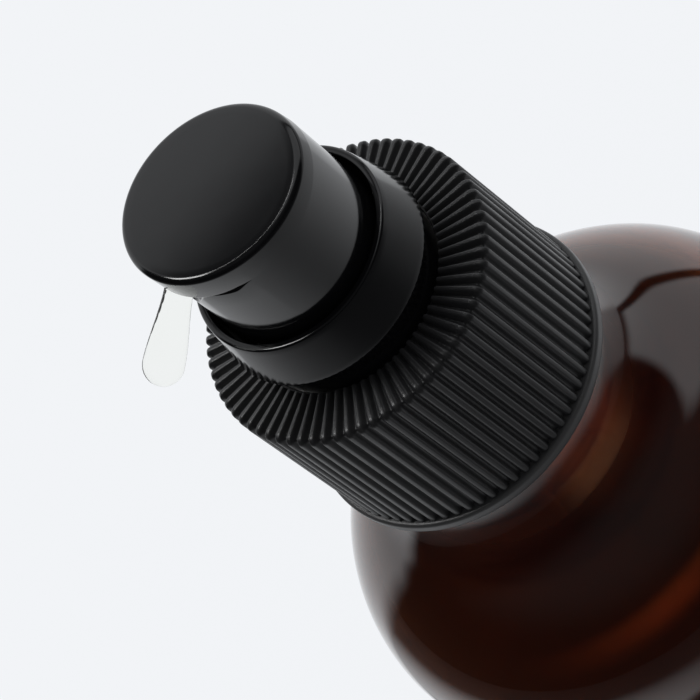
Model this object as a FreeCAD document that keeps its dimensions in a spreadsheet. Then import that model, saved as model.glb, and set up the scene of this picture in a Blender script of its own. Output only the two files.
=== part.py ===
# Pump oil bottle: a round amber glass bottle with a ribbed screw closure and a treatment pump.
# Millimetres. The origin is the centre of the base, +Z is up and the nozzle faces -X.
# At rest the closure is screwed home, the head is up and the inlet ball is on its seat.

import FreeCAD, Part
import math
import os
import Sketcher

# Driving dimensions: name, value, what it measures

SIZES = [
    ("bottle_height", 112.8, "base to the top of the neck"),
    ("bottle_radius", 24.5, "outside of the body"),
    ("bottle_wall", 2.0, "glass of the body and shoulder"),
    ("base_thickness", 3.2, "glass under the inside floor, at the rim"),
    ("heel_round", 3.5, "outside round between base and body"),
    ("push_up_radius", 17.0, "hollow in the underside"),
    ("push_up_depth", 1.2, "hollow in the underside"),
    ("shoulder_drop", 38.3, "neck top to the start of the shoulder"),
    ("shoulder_round", 14.6, "outside arc of the shoulder"),
    ("neck_radius", 10.8, "outside of the neck between the threads"),
    ("neck_bore_radius", 8.0, "mouth of the bottle"),
    ("neck_blend", 6.0, "hollow round between neck and shoulder"),
    ("mouth_round", 0.6, "edges of the neck's top"),
    ("thread_pitch", 3.175, "eight turns per inch"),
    ("neck_thread_turns", 1.5, "thread on the glass"),
    ("neck_thread_depth", 1.2, "height of the glass thread"),
    ("neck_thread_root", 2.2, "width of the glass thread at the neck"),
    ("neck_thread_crest", 1.0, "width of the glass thread at its crest"),
    ("neck_thread_drop", 3.2, "neck top to the middle of the thread's upper end"),
    ("thread_clearance", 0.3, "between the two threads"),
    ("root_sink", 0.2, "how far a thread or rib is sunk in its wall"),
    ("closure_radius", 14.0, "over the ribs"),
    ("closure_height", 18.1, "over the top ribs"),
    ("closure_plate", 1.3, "top plate without its ribs"),
    ("closure_float", 0.1, "top plate over the housing flange"),
    ("closure_thread_turns", 1.0, "thread inside the closure"),
    ("closure_corner", 0.9, "round between side and top"),
    ("closure_bore_chamfer", 0.6, "lead-in at the bottom of the bore"),
    ("band_height", 1.2, "plain band at the bottom of the closure"),
    ("band_proud", 0.4, "how far the band stands out from the ribs"),
    ("rib_height", 0.5, "ribs over the closure's side and top"),
    ("rib_width", 0.6, "thickness of one rib"),
    ("rib_count", 72, "ribs round the closure"),
    ("rib_margin", 0.3, "closure hole to the inner ends of the top ribs"),
    ("gasket_thickness", 1.0, "soft ring on the neck's top"),
    ("gasket_margin", 0.3, "gasket inside the neck's outer edge"),
    ("flange_thickness", 1.4, "housing flange"),
    ("plug_clearance", 0.4, "housing plug in the bottle's mouth"),
    ("plug_depth", 4.0, "housing plug under the flange"),
    ("turret_height", 2.0, "housing above its flange"),
    ("turret_radius", 8.0, "outside of the housing above its flange"),
    ("retainer_radius", 6.4, "bore that takes the retainer"),
    ("retainer_depth", 3.0, "retainer's lower end under the flange"),
    ("retainer_plate", 1.2, "retainer's top plate"),
    ("retainer_wall", 1.2, "retainer's outer skirt"),
    ("guide_wall", 0.9, "retainer's guide tube round the stem"),
    ("assembly_clearance", 0.05, "between pieces that are pushed together"),
    ("running_clearance", 0.1, "between pieces that turn or slide"),
    ("piston_bore_radius", 4.0, "bore of the pump cylinder"),
    ("housing_wall", 1.1, "wall of the pump cylinder"),
    ("cylinder_depth", 26.0, "flange underside to the floor of the cylinder"),
    ("cylinder_floor", 1.6, "under the shelf beside the ball pocket"),
    ("ball_radius", 1.6, "inlet ball"),
    ("ball_pocket_gap", 0.7, "pocket round the ball"),
    ("ball_pocket_depth", 2.2, "shelf to the top of the cone seat"),
    ("inlet_radius", 1.1, "hole under the ball"),
    ("inlet_length", 1.6, "hole between the seat and the tube socket"),
    ("ball_lift", 1.2, "travel of the ball"),
    ("cage_height", 3.4, "ball cage on the cylinder's shelf"),
    ("cage_hole_radius", 1.0, "way out of the ball cage"),
    ("cage_headroom", 0.3, "cage over the lifted ball"),
    ("tube_radius", 2.0, "outside of the dip tube"),
    ("tube_wall", 0.65, "dip tube"),
    ("tube_socket", 7.0, "depth of the tube in the housing's tail"),
    ("tail_wall", 1.3, "housing round the tube socket"),
    ("tube_end_gap", 3.0, "inside floor of the bottle to the tube's end"),
    ("stem_radius", 2.65, "outside of the stem"),
    ("stem_bore_radius", 1.3, "way up through the stem"),
    ("stem_shoulder_radius", 3.4, "stop under the retainer"),
    ("stem_shoulder", 1.2, "thickness of that stop"),
    ("stem_neck_radius", 2.0, "stem inside the piston"),
    ("piston_length", 4.2, "piston along the stem"),
    ("piston_lip", 1.0, "length of each wiping lip"),
    ("piston_waist", 0.5, "how far the piston is waisted between its lips"),
    ("piston_slip", 0.8, "free play of the piston on the stem"),
    ("post_head_radius", 2.9, "valve disc under the piston"),
    ("post_head", 1.1, "thickness of that disc"),
    ("post_shank", 3.5, "length of the post's blade inside the stem"),
    ("post_blade", 0.9, "thickness of that blade"),
    ("port_radius", 0.5, "side port of the stem, behind the piston's lower lip"),
    ("vent_radius", 0.5, "air vent of the cylinder, between the piston's lips"),
    ("spring_wire", 0.6, "wire of the return spring"),
    ("spring_radius", 2.5, "middle of the spring's wire"),
    ("spring_turns", 7.0, "turns of the return spring"),
    ("stroke", 4.5, "travel of the head"),
    ("stop_clearance", 0.4, "left under the head at full travel"),
    ("collar_rim_radius", 9.25, "outside of the collar at its rim"),
    ("collar_rim_wall", 0.65, "collar at its rim"),
    ("collar_flare", 0.9, "collar's lower edge outside its rim"),
    ("collar_edge_round", 0.5, "collar's lower edge"),
    ("collar_rim_round", 0.25, "collar's rim"),
    ("collar_lip_gap", 2.75, "closure top to the collar's lower edge"),
    ("collar_height", 5.2, "collar's lower edge to its rim"),
    ("collar_spigot_wall", 0.85, "collar inside the closure's hole"),
    ("collar_floor", 0.8, "floor of the collar's cup"),
    ("collar_floor_hole", 6.9, "hole in that floor"),
    ("hole_clearance", 0.3, "collar in the closure's hole"),
    ("head_height", 13.0, "head on its axis, skirt to top"),
    ("head_skirt_radius", 7.95, "outside of the head at its skirt"),
    ("head_top_radius", 8.35, "outside of the head at its top"),
    ("head_slant", 5.5, "top rises towards the nozzle, degrees"),
    ("head_edge_round", 1.0, "round of the top edge"),
    ("head_plate", 2.1, "head's top plate on its axis"),
    ("skirt_wall", 1.05, "head's wall at the skirt"),
    ("skirt_depth", 4.0, "wide part of the head's inside"),
    ("head_bore_radius", 5.95, "inside of the head round its core"),
    ("scoop_depth", 1.35, "face round the nozzle, behind the head's top edge"),
    ("scoop_round", 9.3, "radius of that face in plan"),
    ("scoop_ledge_drop", 6.3, "head top to the scoop's ledge at the wall"),
    ("scoop_slope", 41.0, "slope of the ledge, degrees"),
    ("scoop_lip", 2.2, "lip left over the scoop"),
    ("hub_radius", 3.8, "core's hub round the stem"),
    ("socket_depth", 4.2, "stem in the hub"),
    ("core_depth", 6.2, "core's wide part"),
    ("channel_radius", 0.9, "way from the stem to the nozzle"),
    ("nozzle_drop", 3.9, "head top to the nozzle's axis"),
    ("nozzle_radius", 1.1, "outside of the nozzle insert"),
    ("nozzle_bore_radius", 0.5, "way out of the nozzle insert"),
    ("nozzle_length", 4.2, "nozzle insert"),
    ("nozzle_setback", 0.15, "nozzle's end behind the scoop's face"),
    ("drop_root_gap", 0.9, "scoop's face to the middle of the drop's root"),
    ("drop_root_radius", 1.2, "oil drop at the nozzle"),
    ("drop_end_radius", 1.75, "round end of the oil drop"),
    ("drop_length", 8.5, "oil drop, root to end"),
    ("drop_fall", 32.6, "drop's axis below the horizontal, degrees"),
]

doc = FreeCAD.newDocument("pump_oil_bottle")
sheet = doc.addObject("Spreadsheet::Sheet", "sizes")


class Size:
    """A dimension as a number and as the sheet formula that gives it."""

    def __init__(self, value, text):
        self.value = value
        self.text = text

    def join(self, other, sign, value):
        return Size(value, "(%s %s %s)" % (self.text, sign, other.text))

    def __add__(self, other):
        other = as_size(other)
        return self.join(other, "+", self.value + other.value)

    def __sub__(self, other):
        other = as_size(other)
        return self.join(other, "-", self.value - other.value)

    def __mul__(self, other):
        other = as_size(other)
        return self.join(other, "*", self.value * other.value)

    def __truediv__(self, other):
        other = as_size(other)
        return self.join(other, "/", self.value / other.value)

    def __neg__(self):
        return Size(-self.value, "(-%s)" % self.text)

    def __rsub__(self, other):
        return as_size(other) - self

    def __rmul__(self, other):
        return as_size(other) * self


def as_size(thing):
    """Let a plain number take part in a formula."""
    if isinstance(thing, Size):
        return thing
    return Size(float(thing), repr(float(thing)))


def root(size):
    return Size(math.sqrt(size.value), "sqrt(%s)" % size.text)


def tangent(degrees):
    return Size(math.tan(math.radians(degrees.value)), "tan(%s)" % degrees.text)


def sine(degrees):
    return Size(math.sin(math.radians(degrees.value)), "sin(%s)" % degrees.text)


def cosine(degrees):
    return Size(math.cos(math.radians(degrees.value)), "cos(%s)" % degrees.text)


class Sizes:
    """The sheet's rows as attributes."""


dim = Sizes()
for row, (alias, number, note) in enumerate(SIZES, start=1):
    sheet.set("A%d" % row, alias)
    sheet.set("B%d" % row, str(number))
    sheet.set("C%d" % row, note)
    sheet.setAlias("B%d" % row, alias)
    setattr(dim, alias, Size(float(number), "sizes." + alias))
doc.recompute()

ZERO = as_size(0)
SUBPARTS = []


# Sketches and features

def sub_part(label):
    """Start a body whose label names its file."""
    body = doc.addObject("PartDesign::Body", label)
    body.Label = label
    SUBPARTS.append(body)
    return body


def origin(body, role):
    return [item for item in body.Origin.OriginFeatures if item.Role == role][0]


def sketch_on(body, role, name):
    sketch = body.newObject("Sketcher::SketchObject", "%s_%s" % (body.Name, name))
    sketch.AttachmentSupport = (origin(body, role), "")
    sketch.MapMode = "FlatFace"
    return sketch


def bind(owner, path, size):
    owner.setExpression(path, size.text)


def arc_between(start, end, bend):
    """Minor arc of radius |bend|, left of the chord for a positive bend, and whether it runs forwards."""
    chord = end - start
    middle = (start + end) * 0.5
    left = FreeCAD.Vector(-chord.y, chord.x, 0).normalize()
    reach = math.sqrt(max(bend * bend - chord.Length ** 2 / 4, 0))
    centre = middle - left * math.copysign(reach, bend)
    angles = [math.atan2(point.y - centre.y, point.x - centre.x) for point in (start, end)]
    circle = Part.Circle(centre, FreeCAD.Vector(0, 0, 1), abs(bend))
    if bend < 0:
        return Part.ArcOfCircle(circle, angles[0], angles[1]), True
    return Part.ArcOfCircle(circle, angles[1], angles[0]), False


def outline(sketch, corners):
    """Closed outline through (across, up) corners; a third item bends the side that follows its corner."""
    points = [FreeCAD.Vector(as_size(c[0]).value, as_size(c[1]).value, 0) for c in corners]
    ends = []
    bends = []
    for number, corner in enumerate(corners):
        start = points[number]
        end = points[(number + 1) % len(points)]
        if len(corner) == 2:
            side = sketch.addGeometry(Part.LineSegment(start, end), False)
            ends.append((side, 1, 2))
            continue
        arc, forwards = arc_between(start, end, corner[2].value)
        side = sketch.addGeometry(arc, False)
        ends.append((side, 1, 2) if forwards else (side, 2, 1))
        bends.append((side, corner[2] if corner[2].value > 0 else -corner[2]))
    for number, (side, first, last) in enumerate(ends):
        after = ends[(number + 1) % len(ends)]
        sketch.addConstraint(Sketcher.Constraint("Coincident", side, last, after[0], after[1]))
    for (side, first, last), corner in zip(ends, corners):
        for kind, measure, axis in (("DistanceX", corner[0], -2), ("DistanceY", corner[1], -1)):
            measure = as_size(measure)
            if measure is ZERO:
                sketch.addConstraint(Sketcher.Constraint("PointOnObject", side, first, axis))
                continue
            rule = Sketcher.Constraint(kind, -1, 1, side, first, measure.value)
            bind(sketch, "Constraints[%d]" % sketch.addConstraint(rule), measure)
    for side, bend in bends:
        rule = Sketcher.Constraint("Radius", side, bend.value)
        bind(sketch, "Constraints[%d]" % sketch.addConstraint(rule), bend)


def turned(body, corners, kind="PartDesign::Revolution"):
    """Turn an outline of (radius, height) corners round the Z axis, as metal or as a cut."""
    before = body.Tip.Shape.Volume if body.Tip else 0
    sketch = sketch_on(body, "XZ_Plane", "profile")
    outline(sketch, corners)
    feature = body.newObject(kind, "%s_turned" % body.Name)
    feature.Profile = sketch
    feature.ReferenceAxis = (sketch, ["V_Axis"])
    feature.Angle = 360
    feature.Refine = False
    doc.recompute()
    changed(body, feature, before, kind == "PartDesign::Groove")
    return feature


def changed(body, feature, before, is_cut):
    """Stop if a feature left the solid as it was."""
    gain = feature.Shape.Volume - before
    if gain == 0 or (gain < 0) != is_cut:
        raise RuntimeError("%s: %s changed the volume by %g" % (body.Label, feature.Name, gain))


def thread(body, corners, turns):
    """Wind a ridge round the Z axis, upwards from its outline and right-handed."""
    before = body.Tip.Shape.Volume if body.Tip else 0
    sketch = sketch_on(body, "XZ_Plane", "ridge")
    outline(sketch, corners)
    feature = body.newObject("PartDesign::AdditiveHelix", "%s_helix" % body.Name)
    feature.Profile = sketch
    feature.ReferenceAxis = (sketch, ["V_Axis"])
    feature.Mode = "pitch-turns-angle"
    bind(feature, "Pitch", dim.thread_pitch)
    bind(feature, "Turns", turns)
    feature.Refine = False
    doc.recompute()
    changed(body, feature, before, False)


def cross_bore(body, radius, height, reach, start=ZERO):
    """Drill towards the nozzle, from a plane that lies in front of the axis by start."""
    before = body.Tip.Shape.Volume
    sketch = sketch_on(body, "YZ_Plane", "bore")
    bind(sketch, "AttachmentOffset.Base.z", -start)
    circle = Part.Circle(FreeCAD.Vector(0, height.value, 0), FreeCAD.Vector(0, 0, 1), radius.value)
    side = sketch.addGeometry(circle, False)
    sketch.addConstraint(Sketcher.Constraint("PointOnObject", side, 3, -2))
    rule = Sketcher.Constraint("DistanceY", -1, 1, side, 3, height.value)
    bind(sketch, "Constraints[%d]" % sketch.addConstraint(rule), height)
    rule = Sketcher.Constraint("Radius", side, radius.value)
    bind(sketch, "Constraints[%d]" % sketch.addConstraint(rule), radius)
    feature = body.newObject("PartDesign::Pocket", "%s_bore" % body.Name)
    feature.Profile = sketch
    bind(feature, "Length", reach)
    feature.Refine = False
    doc.recompute()
    changed(body, feature, before, True)


# Levels, from the neck up and from the flange down

neck_top = dim.bottle_height
flange_under = neck_top + dim.gasket_thickness
flange_top = flange_under + dim.flange_thickness
turret_top = flange_top + dim.turret_height
plate_under = flange_top + dim.closure_float
plate_top = plate_under + dim.closure_plate
closure_top = plate_top + dim.rib_height
closure_bottom = closure_top - dim.closure_height
collar_edge = closure_top + dim.collar_lip_gap
collar_rim = collar_edge + dim.collar_height
collar_floor_under = turret_top + dim.assembly_clearance
collar_floor_top = collar_floor_under + dim.collar_floor
skirt_bottom = collar_floor_top + dim.stroke + dim.stop_clearance
head_top = skirt_bottom + dim.head_height
nozzle_level = head_top - dim.nozzle_drop
hub_bottom = turret_top + dim.stroke + dim.stop_clearance
stem_top = hub_bottom + dim.socket_depth
retainer_bottom = flange_under - dim.retainer_depth
stem_stop = retainer_bottom - dim.running_clearance
stem_neck_top = stem_stop - dim.stem_shoulder
piston_top = stem_neck_top - dim.piston_slip - dim.running_clearance
piston_bottom = piston_top - dim.piston_length
post_top = piston_bottom - dim.running_clearance
post_bottom = post_top - dim.post_head
shelf = flange_under - dim.cylinder_depth
cage_top = shelf + dim.cage_height
seat_top = shelf - dim.ball_pocket_depth
pocket_radius = dim.ball_radius + dim.ball_pocket_gap
seat_bottom = seat_top - (pocket_radius - dim.inlet_radius)
ball_level = seat_bottom - dim.inlet_radius + (dim.ball_radius + dim.running_clearance) * root(as_size(2))
socket_top = seat_bottom - dim.inlet_length
tail_bottom = socket_top - dim.tube_socket
tube_radius_free = dim.tube_radius + dim.assembly_clearance


# Bottle

def blend(neck, shoulder, bend):
    """Where a hollow round leaves the neck and where it meets the shoulder's arc."""
    centre = dim.bottle_radius - dim.shoulder_round
    level = neck_top - dim.shoulder_drop
    across = neck + bend - centre
    along = shoulder + bend
    rise = root(along * along - across * across)
    meet = (centre + across * shoulder / along, level + rise * shoulder / along)
    return level + rise, meet


def make_bottle():
    body = sub_part("bottle")
    shoulder_level = neck_top - dim.shoulder_drop
    inner = dim.bottle_radius - dim.bottle_wall
    inner_round = dim.shoulder_round - dim.bottle_wall
    inner_blend = dim.neck_blend - dim.bottle_wall / 2
    heel = dim.heel_round
    hollow = (dim.push_up_radius * dim.push_up_radius + dim.push_up_depth * dim.push_up_depth) / (
        2 * dim.push_up_depth)
    outer_start, outer_meet = blend(dim.neck_radius, dim.shoulder_round, dim.neck_blend)
    inner_start, inner_meet = blend(dim.neck_bore_radius, inner_round, inner_blend)
    round_off = dim.mouth_round
    turned(body, [
        (ZERO, dim.push_up_depth, hollow),
        (dim.push_up_radius, ZERO),
        (dim.bottle_radius - heel, ZERO, -heel),
        (dim.bottle_radius, heel),
        (dim.bottle_radius, shoulder_level, -dim.shoulder_round),
        (outer_meet[0], outer_meet[1], dim.neck_blend),
        (dim.neck_radius, outer_start),
        (dim.neck_radius, neck_top - round_off, -round_off),
        (dim.neck_radius - round_off, neck_top),
        (dim.neck_bore_radius + round_off, neck_top, -round_off),
        (dim.neck_bore_radius, neck_top - round_off),
        (dim.neck_bore_radius, inner_start, -inner_blend),
        (inner_meet[0], inner_meet[1], inner_round),
        (inner, shoulder_level),
        (inner, dim.base_thickness + heel, heel),
        (inner - heel, dim.base_thickness),
        (ZERO, dim.base_thickness),
    ])
    start = neck_top - dim.neck_thread_drop - dim.neck_thread_turns * dim.thread_pitch
    slope = (dim.neck_thread_root - dim.neck_thread_crest) / (2 * dim.neck_thread_depth)
    foot = dim.neck_thread_root / 2 + slope * dim.root_sink
    crest = dim.neck_radius + dim.neck_thread_depth
    thread(body, [
        (dim.neck_radius - dim.root_sink, start - foot),
        (crest, start - dim.neck_thread_crest / 2),
        (crest, start + dim.neck_thread_crest / 2),
        (dim.neck_radius - dim.root_sink, start + foot),
    ], dim.neck_thread_turns)


# Closure

collar_spigot_radius = dim.turret_radius + dim.assembly_clearance + dim.collar_spigot_wall
closure_hole = collar_spigot_radius + dim.hole_clearance
closure_bore = dim.neck_radius + dim.neck_thread_depth + dim.thread_clearance
closure_wall_radius = dim.closure_radius - dim.rib_height
band_top = closure_bottom + dim.band_height
band_radius = dim.closure_radius + dim.band_proud


def make_closure():
    body = sub_part("closure")
    corner = dim.closure_corner - dim.rib_height
    chamfer = dim.closure_bore_chamfer
    turned(body, [
        (closure_hole, plate_under),
        (closure_bore, plate_under),
        (closure_bore, closure_bottom + chamfer),
        (closure_bore + chamfer, closure_bottom),
        (band_radius, closure_bottom),
        (band_radius, band_top - dim.band_proud),
        (dim.closure_radius, band_top),
        (closure_wall_radius, band_top),
        (closure_wall_radius, plate_top - corner, -corner),
        (closure_wall_radius - corner, plate_top),
        (closure_hole, plate_top),
    ])
    pitch = dim.thread_pitch
    start = neck_top - dim.neck_thread_drop - dim.neck_thread_turns * pitch - pitch / 2
    slope = (dim.neck_thread_root - dim.neck_thread_crest) / (2 * dim.neck_thread_depth)
    root_half = (pitch - dim.neck_thread_root) / 2 - dim.thread_clearance
    crest = dim.neck_radius + dim.thread_clearance
    foot = closure_bore + dim.root_sink
    crest_half = root_half + slope * (crest - dim.neck_radius)
    foot_half = root_half + slope * (foot - dim.neck_radius)
    thread(body, [
        (foot, start - foot_half),
        (foot, start + foot_half),
        (crest, start + crest_half),
        (crest, start - crest_half),
    ], dim.closure_thread_turns)
    ribs(body)


def ribs(body):
    """One rib runs up the side, over the corner and in along the top, and is repeated round the axis."""
    before = body.Tip.Shape.Volume
    sunk = dim.rib_height + dim.root_sink
    side = dim.closure_radius
    inner_end = closure_hole + dim.rib_margin
    sketch = sketch_on(body, "XZ_Plane", "rib")
    outline(sketch, [
        (side, band_top - dim.root_sink),
        (side, closure_top - dim.closure_corner, -dim.closure_corner),
        (side - dim.closure_corner, closure_top),
        (inner_end, closure_top),
        (inner_end, closure_top - sunk),
        (side - sunk - dim.closure_corner, closure_top - sunk),
        (side - sunk, closure_top - sunk - dim.closure_corner),
        (side - sunk, band_top - dim.root_sink),
    ])
    rib = body.newObject("PartDesign::Pad", "closure_rib")
    rib.Profile = sketch
    rib.Midplane = True
    bind(rib, "Length", dim.rib_width)
    rib.Refine = False
    doc.recompute()
    row = body.newObject("PartDesign::PolarPattern", "closure_ribs")
    row.Originals = [rib]
    row.Axis = (origin(body, "Z_Axis"), [""])
    row.Angle = 360
    bind(row, "Occurrences", dim.rib_count)
    row.Refine = False
    body.Tip = row
    doc.recompute()
    changed(body, row, before, False)


# Pump housing and what stays with it

plug_radius = dim.neck_bore_radius - dim.plug_clearance


def make_gasket():
    inner = plug_radius + dim.running_clearance
    outer = dim.neck_radius - dim.gasket_margin
    turned(sub_part("neck_gasket"), [
        (inner, neck_top),
        (outer, neck_top),
        (outer, flange_under),
        (inner, flange_under),
    ])


def make_housing():
    tube = dim.piston_bore_radius + dim.housing_wall
    pocket_wall = pocket_radius + dim.housing_wall
    tail = tube_radius_free + dim.tail_wall
    floor_under = shelf - dim.cylinder_floor
    body = sub_part("pump_housing")
    turned(body, [
        (dim.retainer_radius, turret_top),
        (dim.retainer_radius, retainer_bottom - dim.assembly_clearance),
        (dim.piston_bore_radius, retainer_bottom - dim.assembly_clearance),
        (dim.piston_bore_radius, shelf),
        (pocket_radius, shelf),
        (pocket_radius, seat_top),
        (dim.inlet_radius, seat_bottom),
        (dim.inlet_radius, socket_top),
        (tube_radius_free, socket_top),
        (tube_radius_free, tail_bottom),
        (tail, tail_bottom),
        (tail, seat_bottom),
        (pocket_wall, seat_top),
        (pocket_wall, floor_under),
        (tube, floor_under),
        (tube, retainer_bottom - dim.housing_wall),
        (plug_radius, flange_under - dim.plug_depth),
        (plug_radius, flange_under),
        (dim.neck_radius, flange_under),
        (dim.neck_radius, flange_top),
        (dim.turret_radius, flange_top),
        (dim.turret_radius, turret_top),
    ])
    cross_bore(body, dim.vent_radius, (piston_bottom + piston_top) / 2, plug_radius * 2)


def make_retainer():
    outer = dim.retainer_radius - dim.assembly_clearance
    guide = dim.stem_radius + dim.running_clearance
    guide_outer = guide + dim.guide_wall
    skirt = outer - dim.retainer_wall
    plate = turret_top - dim.retainer_plate
    turned(sub_part("housing_retainer"), [
        (guide, turret_top),
        (guide, retainer_bottom),
        (guide_outer, retainer_bottom),
        (guide_outer, plate),
        (skirt, plate),
        (skirt, retainer_bottom),
        (outer, retainer_bottom),
        (outer, turret_top),
    ])


def make_collar():
    rim = dim.collar_rim_radius
    inner = rim - dim.collar_rim_wall
    edge = rim + dim.collar_flare
    bend = dim.collar_edge_round
    rim_round = dim.collar_rim_round
    spigot_bore = dim.turret_radius + dim.assembly_clearance
    spigot_bottom = flange_top + dim.assembly_clearance
    turned(sub_part("collar"), [
        (inner, collar_rim),
        (rim - rim_round, collar_rim, rim_round),
        (rim, collar_rim - rim_round),
        (edge, collar_edge + bend, bend),
        (edge - bend, collar_edge),
        (collar_spigot_radius, collar_edge),
        (collar_spigot_radius, spigot_bottom),
        (spigot_bore, spigot_bottom),
        (spigot_bore, collar_floor_under),
        (dim.collar_floor_hole, collar_floor_under),
        (dim.collar_floor_hole, collar_floor_top),
        (inner, collar_floor_top),
    ])


def make_cage():
    outer = dim.piston_bore_radius - dim.assembly_clearance
    pocket = dim.ball_radius + dim.cage_headroom
    roof = ball_level + dim.ball_radius + dim.ball_lift + dim.cage_headroom
    turned(sub_part("ball_cage"), [
        (pocket, shelf),
        (outer, shelf),
        (outer, cage_top),
        (dim.cage_hole_radius, cage_top),
        (dim.cage_hole_radius, roof),
        (pocket, roof),
    ])


def make_ball():
    turned(sub_part("inlet_ball"), [
        (ZERO, ball_level - dim.ball_radius, -dim.ball_radius),
        (dim.ball_radius, ball_level, -dim.ball_radius),
        (ZERO, ball_level + dim.ball_radius),
    ])


def make_dip_tube():
    bore = dim.tube_radius - dim.tube_wall
    end = dim.base_thickness + dim.tube_end_gap
    top = socket_top - dim.assembly_clearance
    turned(sub_part("dip_tube"), [
        (bore, end),
        (dim.tube_radius, end),
        (dim.tube_radius, top),
        (bore, top),
    ])


# Plunger: stem, valve post, piston and spring

def make_stem():
    body = sub_part("stem")
    turned(body, [
        (dim.stem_bore_radius, stem_top),
        (dim.stem_bore_radius, post_top + dim.assembly_clearance),
        (dim.stem_neck_radius, post_top + dim.assembly_clearance),
        (dim.stem_neck_radius, stem_neck_top),
        (dim.stem_shoulder_radius, stem_neck_top),
        (dim.stem_shoulder_radius, stem_stop),
        (dim.stem_radius, stem_stop),
        (dim.stem_radius, stem_top),
    ])
    port_level = piston_bottom + dim.port_radius + dim.running_clearance
    cross_bore(body, dim.port_radius, port_level, dim.stem_radius * 2)


def make_post():
    """A disc that shuts the piston from below, and a flat blade in the stem that lets oil pass."""
    body = sub_part("valve_post")
    turned(body, [
        (ZERO, post_bottom),
        (dim.post_head_radius, post_bottom),
        (dim.post_head_radius, post_top),
        (ZERO, post_top),
    ])
    before = body.Tip.Shape.Volume
    grip = dim.stem_bore_radius - dim.assembly_clearance
    half_thick = dim.post_blade / 2
    half_wide = root(grip * grip - half_thick * half_thick)
    sketch = sketch_on(body, "XY_Plane", "blade")
    bind(sketch, "AttachmentOffset.Base.z", post_top)
    outline(sketch, [
        (-half_thick, -half_wide),
        (half_thick, -half_wide),
        (half_thick, half_wide),
        (-half_thick, half_wide),
    ])
    blade = body.newObject("PartDesign::Pad", "valve_post_blade")
    blade.Profile = sketch
    bind(blade, "Length", dim.post_shank)
    blade.Refine = False
    doc.recompute()
    changed(body, blade, before, False)


def make_piston():
    bore = dim.stem_neck_radius + dim.running_clearance
    lip = dim.piston_bore_radius - dim.running_clearance
    waist = lip - dim.piston_waist
    turned(sub_part("piston"), [
        (bore, piston_bottom),
        (lip, piston_bottom),
        (lip, piston_bottom + dim.piston_lip),
        (waist, piston_bottom + dim.piston_lip + dim.piston_waist),
        (waist, piston_top - dim.piston_lip - dim.piston_waist),
        (lip, piston_top - dim.piston_lip),
        (lip, piston_top),
        (bore, piston_top),
    ])


def make_spring():
    body = sub_part("return_spring")
    wire = dim.spring_wire / 2
    low = cage_top + wire + dim.running_clearance
    high = post_bottom - wire - dim.running_clearance
    sketch = sketch_on(body, "XZ_Plane", "wire")
    outline(sketch, [
        (dim.spring_radius - wire, low, -wire),
        (dim.spring_radius + wire, low, -wire),
    ])
    coil = body.newObject("PartDesign::AdditiveHelix", "return_spring_coil")
    coil.Profile = sketch
    coil.ReferenceAxis = (sketch, ["V_Axis"])
    coil.Mode = "height-turns-angle"
    bind(coil, "Height", high - low)
    bind(coil, "Turns", dim.spring_turns)
    coil.Refine = False
    doc.recompute()


# Head: shell, core, nozzle and the oil drop that leaves it

slant = tangent(dim.head_slant)
cavity_top = head_top - dim.head_plate
skirt_bore = dim.head_skirt_radius - dim.skirt_wall
nozzle_hole = dim.nozzle_radius + dim.assembly_clearance
scoop_front = dim.head_top_radius - dim.scoop_depth
nozzle_back = scoop_front - dim.nozzle_setback - dim.nozzle_length


def make_shell():
    """A drafted round with a slanted top, hollowed from below, with a scoop under its lip."""
    blank = doc.addObject("PartDesign::Body", "shell_blank")
    draft = (dim.head_top_radius - dim.head_skirt_radius) / dim.head_height
    spare = dim.head_top_radius * slant * 2
    turned(blank, [
        (ZERO, skirt_bottom),
        (dim.head_skirt_radius, skirt_bottom),
        (dim.head_top_radius + draft * spare, head_top + spare),
        (ZERO, head_top + spare),
    ])
    slanted_top(blank)
    step = skirt_bottom + dim.skirt_depth
    turned(blank, [
        (ZERO, skirt_bottom),
        (skirt_bore, skirt_bottom),
        (skirt_bore, step),
        (dim.head_bore_radius, step + skirt_bore - dim.head_bore_radius),
        (dim.head_bore_radius, cavity_top),
        (ZERO, cavity_top),
    ], "PartDesign::Groove")
    cross_bore(blank, nozzle_hole, nozzle_level, dim.head_top_radius * 2)
    shell = doc.addObject("Part::Cut", "actuator_shell")
    shell.Label = "actuator_shell"
    shell.Base = blank
    shell.Tool = scoop()
    SUBPARTS.append(shell)
    doc.recompute()
    changed(shell, shell, blank.Shape.Volume, True)


def slanted_top(blank):
    """Cut the top on a slope that rises towards the nozzle, and round its edge."""
    before = blank.Tip.Shape.Volume
    wide = dim.head_top_radius * 2
    sketch = sketch_on(blank, "XZ_Plane", "slope")
    outline(sketch, [
        (-wide, head_top + wide * slant),
        (wide, head_top - wide * slant),
        (wide, head_top + wide),
        (-wide, head_top + wide),
    ])
    slope = blank.newObject("PartDesign::Pocket", "shell_slope")
    slope.Profile = sketch
    slope.Midplane = True
    bind(slope, "Length", wide * 2)
    slope.Refine = False
    doc.recompute()
    changed(blank, slope, before, True)
    edges = slope.Shape.Edges
    top_edge = max(range(len(edges)), key=lambda number: edges[number].BoundBox.ZMin)
    soft = blank.newObject("PartDesign::Fillet", "shell_edge")
    soft.Base = (slope, ["Edge%d" % (top_edge + 1)])
    bind(soft, "Radius", dim.head_edge_round)
    doc.recompute()


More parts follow.
